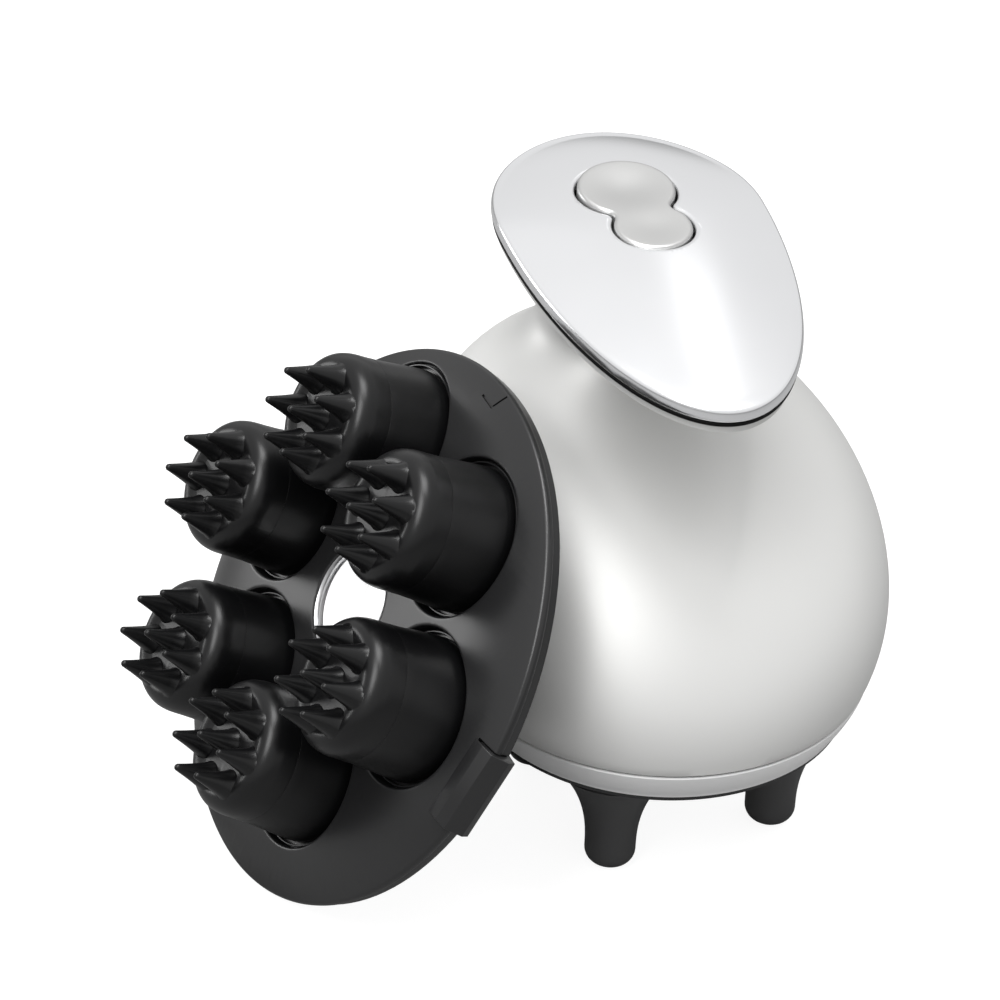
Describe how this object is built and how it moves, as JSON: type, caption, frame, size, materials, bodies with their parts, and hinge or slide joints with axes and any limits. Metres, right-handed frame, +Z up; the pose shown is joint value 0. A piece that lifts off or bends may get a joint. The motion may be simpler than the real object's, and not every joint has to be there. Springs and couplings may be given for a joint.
{
  "type": "electric scalp massager",
  "caption": "Palm-held powered scalp massager with an egg-shaped chrome top plate, domed body and turning leg head, beside a tilted disc head of geared tined brushes.",
  "frame": {"origin": "on the drive axis, at the flat underside of the leg disc", "axes": "+Z up along the drive axis; the narrow end of the top plate points to -Y; the brush head leans on the -X side"},
  "size_m": [0.159, 0.1267, 0.1247],
  "materials": {
    "pearl_shell": "pearl satin",
    "grey_band": "satin silver grey",
    "dark_plastic": "matte dark grey",
    "inner_plastic": "plain",
    "soft_rubber": "soft touch",
    "black_satin": "black satin",
    "chrome_plate": "polished",
    "satin_button": "satin silver",
    "steel": "turned",
    "bronze": "plain",
    "gear_plastic": "natural acetal",
    "cell_wrap": "film wrap",
    "board": "solder resist"
  },
  "bodies": {
    "unit": {"upper_shell": "pearl_shell", "parting_seal": "soft_rubber", "lower_band": "grey_band", "charge_contacts": "bronze", "chassis": "inner_plastic", "chassis_screws": "steel", "lower_bearing": "steel", "gearbox_cover": "inner_plastic", "upper_bush": "bronze", "cover_screws": "steel", "idler_pin": "steel", "motor": "steel", "battery": "cell_wrap", "battery_strap": "steel", "main_board": "board", "rotor_seal": "soft_rubber", "handle_under": "pearl_shell", "neck_screws": "steel", "handle_frame": "inner_plastic", "plate_seal": "soft_rubber", "handle_plate": "chrome_plate", "switch_board": "board", "button_pin": "steel"},
    "drive": {"drive_shaft": "steel", "drive_boss": "steel", "output_gear": "gear_plastic", "leg_disc": "dark_plastic", "leg_cores": "steel", "leg_covers": "soft_rubber"},
    "idler": {"idler_gear": "gear_plastic"},
    "motor_rotor": {"motor_pinion": "bronze"},
    "button": {"button": "satin_button"},
    "head": {"head_face": "dark_plastic", "head_back": "dark_plastic", "head_screws": "steel", "tab_spring": "steel"},
    "hub": {"hub_gear": "gear_plastic", "hub_liner": "steel"},
    "tab": {"release_tab": "dark_plastic"},
    "brush_1": {"brush_cup_1": "black_satin", "brush_pad_1": "soft_rubber", "brush_gear_1": "gear_plastic"},
    "brush_2": {"brush_cup_2": "black_satin", "brush_pad_2": "soft_rubber", "brush_gear_2": "gear_plastic"},
    "brush_3": {"brush_cup_3": "black_satin", "brush_pad_3": "soft_rubber", "brush_gear_3": "gear_plastic"},
    "brush_4": {"brush_cup_4": "black_satin", "brush_pad_4": "soft_rubber", "brush_gear_4": "gear_plastic"},
    "brush_5": {"brush_cup_5": "black_satin", "brush_pad_5": "soft_rubber", "brush_gear_5": "gear_plastic"},
    "brush_6": {"brush_cup_6": "black_satin", "brush_pad_6": "soft_rubber", "brush_gear_6": "gear_plastic"}
  },
  "joints": [
    {"name": "drive_turn", "type": "hinge", "parent": "unit", "child": "drive", "pos_m": [0, 0, 0], "axis": [0, 0, 1], "continuous": true},
    {"name": "idler_turn", "type": "hinge", "parent": "unit", "child": "idler", "pos_m": [0, 0.026, 0], "axis": [0, 0, 1], "continuous": true},
    {"name": "motor_turn", "type": "hinge", "parent": "unit", "child": "motor_rotor", "pos_m": [0.01455, 0.0344, 0], "axis": [0, 0, 1], "continuous": true},
    {"name": "button_rock", "type": "hinge", "parent": "unit", "child": "button", "pos_m": [0, 0.03152, 0.08986], "axis": [1, 0, 0], "range_deg": [-2.5, 2.5], "stiffness_Nm_per_rad": 0.05},
    {"name": "head_lift", "type": "slide", "parent": "unit", "child": "head", "axis": [-0.8541, -0.12, 0.506], "range_m": [0, 0.12]},
    {"name": "hub_turn", "type": "hinge", "parent": "head", "child": "hub", "pos_m": [-0.06178, 0.00544, 0.02638], "axis": [-0.8541, -0.12, 0.506], "continuous": true},
    {"name": "tab_press", "type": "slide", "parent": "head", "child": "tab", "axis": [-0.1216, 0.9921, 0.0301], "range_m": [0, 0.001], "stiffness_N_per_m": 300},
    {"name": "brush_1_turn", "type": "hinge", "parent": "head", "child": "brush_1", "pos_m": [-0.04835, 0.0226, 0.05312], "axis": [-0.8691, -0.1399, 0.4745], "continuous": true},
    {"name": "brush_2_turn", "type": "hinge", "parent": "head", "child": "brush_2", "pos_m": [-0.04476, -0.01165, 0.05105], "axis": [-0.8732, -0.1001, 0.4769], "continuous": true},
    {"name": "brush_3_turn", "type": "hinge", "parent": "head", "child": "brush_3", "pos_m": [-0.0582, -0.02881, 0.0243], "axis": [-0.8576, -0.0801, 0.508], "continuous": true},
    {"name": "brush_4_turn", "type": "hinge", "parent": "head", "child": "brush_4", "pos_m": [-0.07522, -0.01172, -0.00037], "axis": [-0.8378, -0.1, 0.5367], "continuous": true},
    {"name": "brush_5_turn", "type": "hinge", "parent": "head", "child": "brush_5", "pos_m": [-0.0788, 0.02253, 0.00171], "axis": [-0.8336, -0.1398, 0.5343], "continuous": true},
    {"name": "brush_6_turn", "type": "hinge", "parent": "head", "child": "brush_6", "pos_m": [-0.06537, 0.03969, 0.02846], "axis": [-0.8493, -0.1598, 0.5032], "continuous": true}
  ],
  "couplings": [
    {"joint": "idler_turn", "follows": "drive_turn", "ratio": -3.3333},
    {"joint": "motor_turn", "follows": "drive_turn", "ratio": 10},
    {"joint": "brush_1_turn", "follows": "hub_turn", "ratio": -1.875},
    {"joint": "brush_2_turn", "follows": "hub_turn", "ratio": -1.875},
    {"joint": "brush_3_turn", "follows": "hub_turn", "ratio": -1.875},
    {"joint": "brush_4_turn", "follows": "hub_turn", "ratio": -1.875},
    {"joint": "brush_5_turn", "follows": "hub_turn", "ratio": -1.875},
    {"joint": "brush_6_turn", "follows": "hub_turn", "ratio": -1.875}
  ]
}
